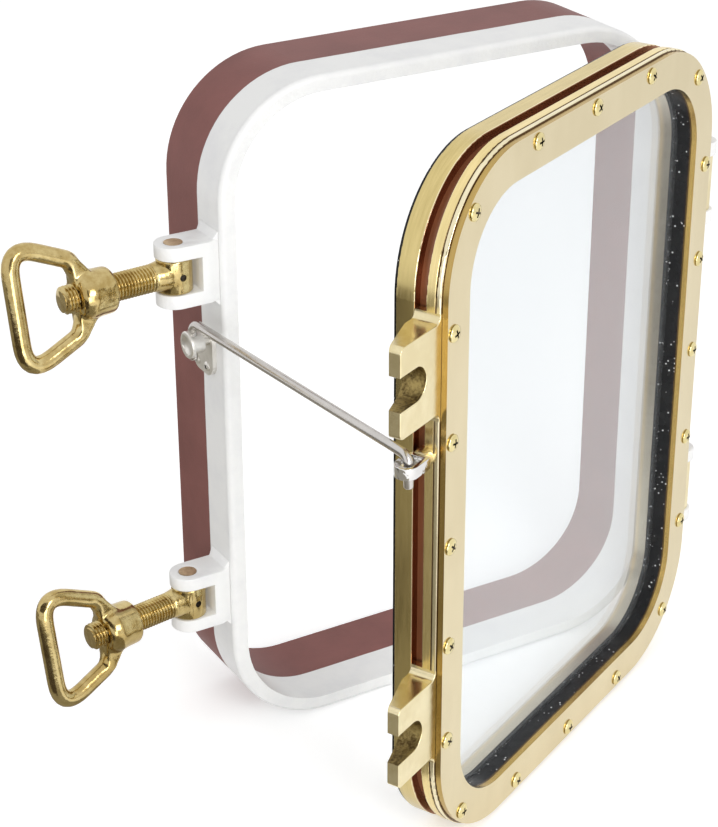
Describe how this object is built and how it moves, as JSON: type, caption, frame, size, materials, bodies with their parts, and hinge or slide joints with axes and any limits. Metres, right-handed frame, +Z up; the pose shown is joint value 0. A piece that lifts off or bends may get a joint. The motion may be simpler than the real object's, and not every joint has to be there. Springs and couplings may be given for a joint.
{
  "type": "portlight",
  "caption": "Rectangular opening portlight: steel spigot, hinged brass sash with glass, swing bolts with ring nuts, and a hook stay that holds it ajar.",
  "frame": {"origin": "centre of the spigot's inboard rim, which is the plane that the shut sash seals against", "axes": "+Y points outboard along the spigot, +Z up, +X to the right as seen from inside the ship"},
  "size_m": [0.6833, 0.3839, 0.625],
  "materials": {
    "painted_steel": "semi-gloss white paint, red oxide primer outboard",
    "polished_brass": "polished",
    "cast_brass": "cast, machined where it bears",
    "stainless_steel": "satin",
    "rubber": "matt black",
    "packing_plastic": "matt",
    "clear_glass": "clear, polished"
  },
  "bodies": {
    "frame": {"spigot_frame": "painted_steel", "stay_base": "stainless_steel", "stay_base_screws": "stainless_steel", "bolt_clevis_upper": "painted_steel", "bolt_pin_upper": "cast_brass", "hinge_bracket_upper": "painted_steel", "hinge_pin_upper": "cast_brass", "bolt_clevis_lower": "painted_steel", "bolt_pin_lower": "cast_brass", "hinge_bracket_lower": "painted_steel", "hinge_pin_lower": "cast_brass"},
    "sash": {"sash_frame": "polished_brass", "sash_seal": "rubber", "retaining_ring": "polished_brass", "ring_screws": "polished_brass", "glass_pane": "clear_glass", "glazing_gasket_front": "rubber", "glazing_gasket_rear": "rubber", "glass_setting_blocks": "packing_plastic", "stay_eye": "stainless_steel", "hinge_knuckle_upper": "cast_brass", "bolt_lug_upper": "cast_brass", "hinge_knuckle_lower": "cast_brass", "bolt_lug_lower": "cast_brass"},
    "bolt_upper": {"swing_bolt_upper": "cast_brass", "bolt_grub_screw_upper": "stainless_steel"},
    "handle_upper": {"ring_nut_upper": "cast_brass"},
    "bolt_lower": {"swing_bolt_lower": "cast_brass", "bolt_grub_screw_lower": "stainless_steel"},
    "handle_lower": {"ring_nut_lower": "cast_brass"},
    "swivel": {"stay_swivel": "stainless_steel"},
    "stay": {"stay_rod": "stainless_steel"}
  },
  "joints": [
    {"name": "sash_swing", "type": "hinge", "parent": "frame", "child": "sash", "pos_m": [0.2486, -0.0312, 0], "axis": [0, 0, 1], "range_deg": [-26.6, 63.4]},
    {"name": "bolt_swing_upper", "type": "hinge", "parent": "frame", "child": "bolt_upper", "pos_m": [-0.2675, 0.0175, 0.1585], "axis": [0, 0, -1], "range_deg": [-85.8, 20]},
    {"name": "handle_turn_upper", "type": "hinge", "parent": "bolt_upper", "child": "handle_upper", "pos_m": [-0.2675, 0.0175, 0.1585], "axis": [-0.9973, -0.0732, 0], "continuous": true},
    {"name": "bolt_swing_lower", "type": "hinge", "parent": "frame", "child": "bolt_lower", "pos_m": [-0.2675, 0.0175, -0.1585], "axis": [0, 0, -1], "range_deg": [-80.8, 20]},
    {"name": "handle_turn_lower", "type": "hinge", "parent": "bolt_lower", "child": "handle_lower", "pos_m": [-0.2675, 0.0175, -0.1585], "axis": [-0.9871, -0.1599, 0], "continuous": true},
    {"name": "stay_lift", "type": "hinge", "parent": "frame", "child": "swivel", "pos_m": [-0.2495, 0.0245, 0.086], "axis": [-1, 0, 0], "range_deg": [0, 4.8]},
    {"name": "stay_swing", "type": "hinge", "parent": "swivel", "child": "stay", "pos_m": [-0.2495, 0.0245, 0.086], "axis": [0, 0, 1], "range_deg": [-8.78, 20.92]}
  ],
  "couplings": [
    {"joint": "stay_swing", "follows": "sash_swing", "ratio": 0.33}
  ]
}
